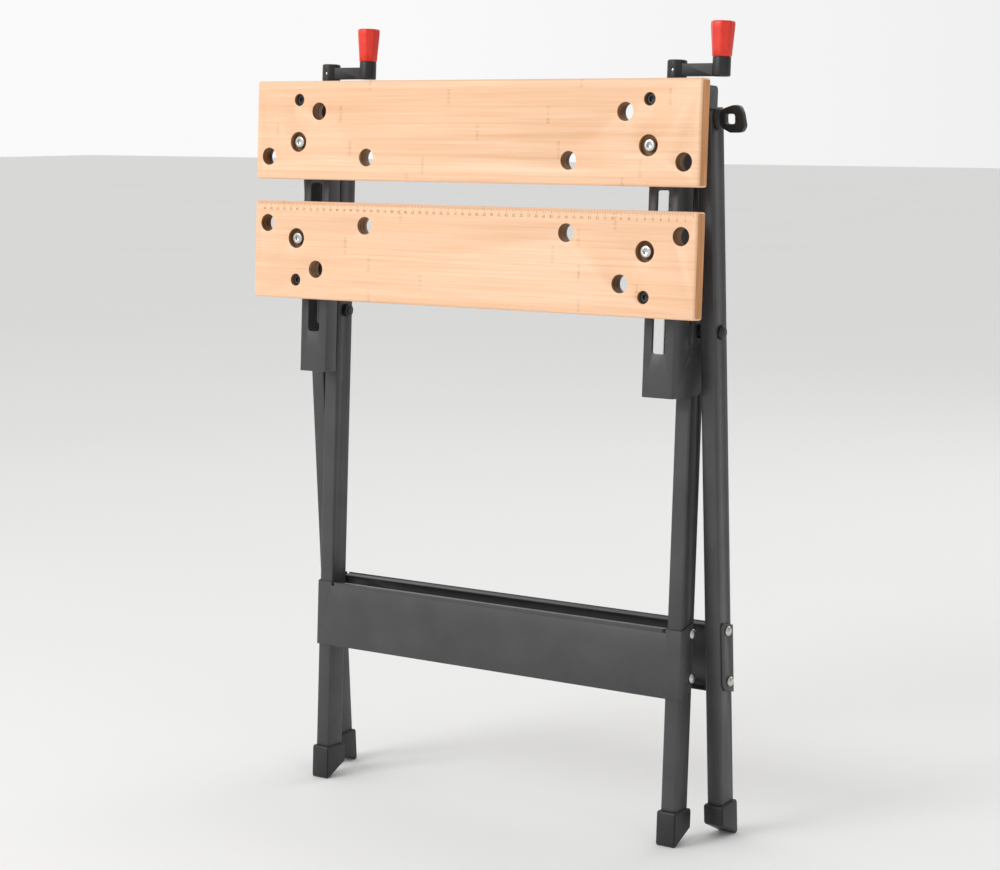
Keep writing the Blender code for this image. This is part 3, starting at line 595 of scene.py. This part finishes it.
class SAWHORSE_OT_mouldings(bpy.types.Operator):
    """Finish the feet, plugs, blocks, knobs and crank arms as mouldings"""
    bl_idname = "sawhorse.mouldings"
    bl_label = "Mouldings"

    def execute(self, context):
        for node in both("inner_foot", "outer_foot", "lock_knob", "crank_arm"):
            softened(node, sizes().moulded_edge, 3)
        for node in both("inner_leg_plug", "outer_leg_plug", "fixed_jaw_spacer", "carriage",
                         "screw_bearing", "pivot_bolt", "pivot_nut", "pivot_spacer", "slot_shoe",
                         "hinge_stub"):
            softened(node, 0.4 * sizes().moulded_edge)
        return {"FINISHED"}


class SAWHORSE_OT_fixings(bpy.types.Operator):
    """Finish the zinc-plated bolts, nuts, pins and studs"""
    bl_idname = "sawhorse.fixings"
    bl_label = "Fixings"

    def execute(self, context):
        plated = [n for n, slot in SLOT_OF.items() if slot == "zinc" and not n.startswith("lead_screw")]
        for node in plated:
            softened(node, 0.3 * MM)
        return {"FINISHED"}


# --- Lead screws and cranks ----------------------------------------------------------------

def screw_place(side):
    """The matrix of a lead screw: its hinge axis leaning with the top."""
    return Matrix.Translation(Vector(JOINTS[f"crank_{side}_turn"]["pos_m"])) @ \
        Matrix.Rotation(LEAN, 4, "X")


def revolved(name, profile, steps=28):
    """Turn a profile, given as (radius, height) from pole to pole, about Z."""
    bpy.ops.object.select_all(action="DESELECT")
    bpy.ops.mesh.primitive_plane_add(size=1 * MM)
    obj = added(name)
    bpy.ops.object.mode_set(mode="EDIT")
    bpy.ops.mesh.select_all(action="SELECT")
    bpy.ops.mesh.merge(type="CENTER")
    bpy.ops.transform.translate(value=(profile[0][0], 0, profile[0][1]))
    for (r0, z0), (r1, z1) in zip(profile, profile[1:]):
        bpy.ops.mesh.extrude_region_move(TRANSFORM_OT_translate={"value": (r1 - r0, 0, z1 - z0)})
    bpy.ops.object.mode_set(mode="OBJECT")
    apply_modifier(obj, "SCREW", angle=2 * math.pi, steps=steps, render_steps=steps,
                   use_merge_vertices=True, merge_threshold=0.000001)
    only(obj)
    bpy.ops.object.mode_set(mode="EDIT")
    bpy.ops.mesh.select_all(action="SELECT")
    bpy.ops.mesh.remove_doubles(threshold=0.000002)
    bpy.ops.mesh.normals_make_consistent(inside=False)
    bpy.ops.object.mode_set(mode="OBJECT")
    return obj


def lead_screw_profile():
    """Crests and roots up the rod, then the plain part with its two collars."""
    pitch, crest, root, collar = sizes().thread_pitch, 5 * MM, 4.1 * MM, 8 * MM
    low, high = -232 * MM, 40 * MM
    profile = [(0, low), (root, low)]
    for k in range(int((high - low) / pitch)):
        z = low + k * pitch
        profile += [(root, z + 0.1 * pitch), (crest, z + 0.4 * pitch), (crest, z + 0.6 * pitch),
                    (root, z + 0.9 * pitch)]
    profile += [(crest, high), (crest, 41 * MM), (collar - 0.4 * MM, 41 * MM), (collar, 41.4 * MM),
                (collar, 46.4 * MM), (collar - 0.4 * MM, 46.7 * MM), (crest, 46.7 * MM),
                (crest, 63.3 * MM), (collar, 63.4 * MM), (collar, 67.1 * MM), (crest, 67.1 * MM),
                (crest, 82.5 * MM), (0, 82.5 * MM)]
    return profile


def grip_profile():
    """Up the grip from its narrow foot to its rounded top, which has a small dimple."""
    return [(0, 91.8 * MM), (10.1 * MM, 91.8 * MM), (10.6 * MM, 92.4 * MM), (11.1 * MM, 99 * MM),
            (13 * MM, 122 * MM), (13.2 * MM, 126 * MM), (13.0 * MM, 128.3 * MM),
            (12.4 * MM, 129.2 * MM), (11.6 * MM, 129.5 * MM), (4.5 * MM, 129.5 * MM),
            (4.1 * MM, 128.9 * MM), (4.1 * MM, 127 * MM), (0, 127 * MM)]


def flatten_sides(obj, flats=8):
    """Press soft flats into a round grip."""
    half = math.pi / flats
    for v in obj.data.vertices:
        radius = math.hypot(v.co.x, v.co.y)
        if radius < 6 * MM:
            continue
        off = (math.atan2(v.co.y, v.co.x) + half) % (2 * half) - half
        factor = min(1.0, 0.95 / math.cos(off))
        v.co.x *= factor
        v.co.y *= factor


class SAWHORSE_OT_screws(bpy.types.Operator):
    """Turn the threaded lead screws"""
    bl_idname = "sawhorse.screws"
    bl_label = "Lead screws"

    def execute(self, context):
        for side in ("left", "right"):
            obj = revolved(f"lead_screw_{side}_threaded", lead_screw_profile())
            smooth(obj, 40)
            settle(obj, screw_place(side))
            hand_over(obj, f"lead_screw_{side}")
        return {"FINISHED"}


class SAWHORSE_OT_grips(bpy.types.Operator):
    """Turn the red grips and the crank hubs' roll pins"""
    bl_idname = "sawhorse.grips"
    bl_label = "Grips"

    def execute(self, context):
        for side in ("left", "right"):
            place = screw_place(side)
            reach = Vector(JOINTS[f"grip_{side}_spin"]["pos_m"]).x - place.translation.x
            obj = revolved(f"grip_{side}_moulded", grip_profile(), 64)
            flatten_sides(obj)
            smooth(obj, 40)
            settle(obj, place @ Matrix.Translation((reach, 0, 0)))
            hand_over(obj, f"grip_{side}")
            self.roll_pin(side, place)
        return {"FINISHED"}

    def roll_pin(self, side, place):
        """The pin's end, just inside its hole in the hub."""
        pin = cylinder(f"roll_pin_{side}", 1.55 * MM, 4 * MM, (0, -7.9 * MM, 77.7 * MM),
                       (math.pi / 2, 0, 0), 24)
        apply_modifier(pin, "BEVEL", width=0.3 * MM, segments=2, limit_method="ANGLE")
        smooth(pin)
        settle(pin, place)
        hand_extra(pin, f"crank_{side}", "zinc")


# --- Stage ---------------------------------------------------------------------------------

EYE = Vector((1.5955, -2.2799, 0.8169))
LOOK_TURN = math.radians(34.88)
LOOK_DOWN = math.radians(7.65)
LENS = 87.1


def light(name, at, target, size, power):
    bpy.ops.object.select_all(action="DESELECT")
    bpy.ops.object.light_add(type="AREA", location=at)
    lamp = bpy.context.object
    lamp.name = name
    lamp.data.shape = "DISK"
    lamp.data.size = size
    lamp.data.energy = power
    lamp.rotation_euler = (Vector(target) - Vector(at)).to_track_quat("-Z", "Y").to_euler()


class SAWHORSE_OT_stage(bpy.types.Operator):
    """Set up the floor, soft studio light and camera"""
    bl_idname = "sawhorse.stage"
    bl_label = "Stage"

    def execute(self, context):
        bpy.ops.object.select_all(action="DESELECT")
        bpy.ops.mesh.primitive_plane_add(size=60)
        floor = added("floor")
        mat, tree, shader, where = new_material("pale_floor")
        grey = noise(tree, where, 0.8, 2.0)
        tree.links.new(mix(tree, grey, linear("FAFAF9"), linear("F6F6F5")), shader.inputs["Base Color"])
        shader.inputs["Roughness"].default_value = 0.9
        floor.data.materials.append(mat)
        self.lights(context)
        self.camera(context)
        return {"FINISHED"}

    def lights(self, context):
        world = bpy.data.worlds.new("studio")
        world.use_nodes = True
        tree = world.node_tree
        across = add(tree, "SeparateXYZ", {0: add(tree, "TexCoord").outputs["Generated"]}).outputs["X"]
        level = add(tree, "MapRange", {"Value": across, "From Min": -0.6, "From Max": 1.0,
                                       "To Min": 0.95, "To Max": 0.35}).outputs[0]
        tree.nodes["Background"].inputs["Color"].default_value = (1, 1, 1, 1)
        tree.links.new(level, tree.nodes["Background"].inputs["Strength"])
        context.scene.world = world
        middle = (0, 0, 0.5)
        light("key", (-1.5, -3.3, 2.4), middle, 2.0, 56)
        light("fill", (3.4, -1.6, 1.4), middle, 2.6, 7)
        light("rim", (0.5, 3.2, 2.6), middle, 2.2, 14)
        context.scene.view_settings.view_transform = "Standard"

    def camera(self, context):
        bpy.ops.object.camera_add(location=EYE, rotation=(math.pi / 2 - LOOK_DOWN, 0, LOOK_TURN))
        camera = context.object
        camera.data.lens = LENS
        camera.data.sensor_width = 36
        context.scene.camera = camera


# --- Panel and main ------------------------------------------------------------------------

OPERATORS = (SAWHORSE_OT_stage, SAWHORSE_OT_boards, SAWHORSE_OT_ruler, SAWHORSE_OT_steel,
             SAWHORSE_OT_mouldings, SAWHORSE_OT_fixings, SAWHORSE_OT_screws, SAWHORSE_OT_grips)


class SAWHORSE_PT_panel(bpy.types.Panel):
    """Lists the sawhorse's operators and settings"""
    bl_label = "Sawhorse"
    bl_idname = "SAWHORSE_PT_panel"
    bl_space_type = "VIEW_3D"
    bl_region_type = "UI"
    bl_category = "Sawhorse"

    def draw(self, context):
        for operator in OPERATORS:
            self.layout.operator(operator.bl_idname)
        for group in (context.scene.sawhorse_sizes, context.scene.sawhorse_colours):
            for key in type(group).__annotations__:
                self.layout.prop(group, key)


CLASSES = (SawhorseSizes, SawhorseColours) + OPERATORS + (SAWHORSE_PT_panel,)


def register():
    for cls in CLASSES:
        bpy.utils.register_class(cls)
    bpy.types.Scene.sawhorse_sizes = bpy.props.PointerProperty(type=SawhorseSizes)
    bpy.types.Scene.sawhorse_colours = bpy.props.PointerProperty(type=SawhorseColours)


def unregister():
    del bpy.types.Scene.sawhorse_colours
    del bpy.types.Scene.sawhorse_sizes
    for cls in reversed(CLASSES):
        bpy.utils.unregister_class(cls)


def main():
    register()
    for operator in OPERATORS:
        group, name = operator.bl_idname.split(".")
        getattr(getattr(bpy.ops, group), name)()


if __name__ == "__main__":
    main()
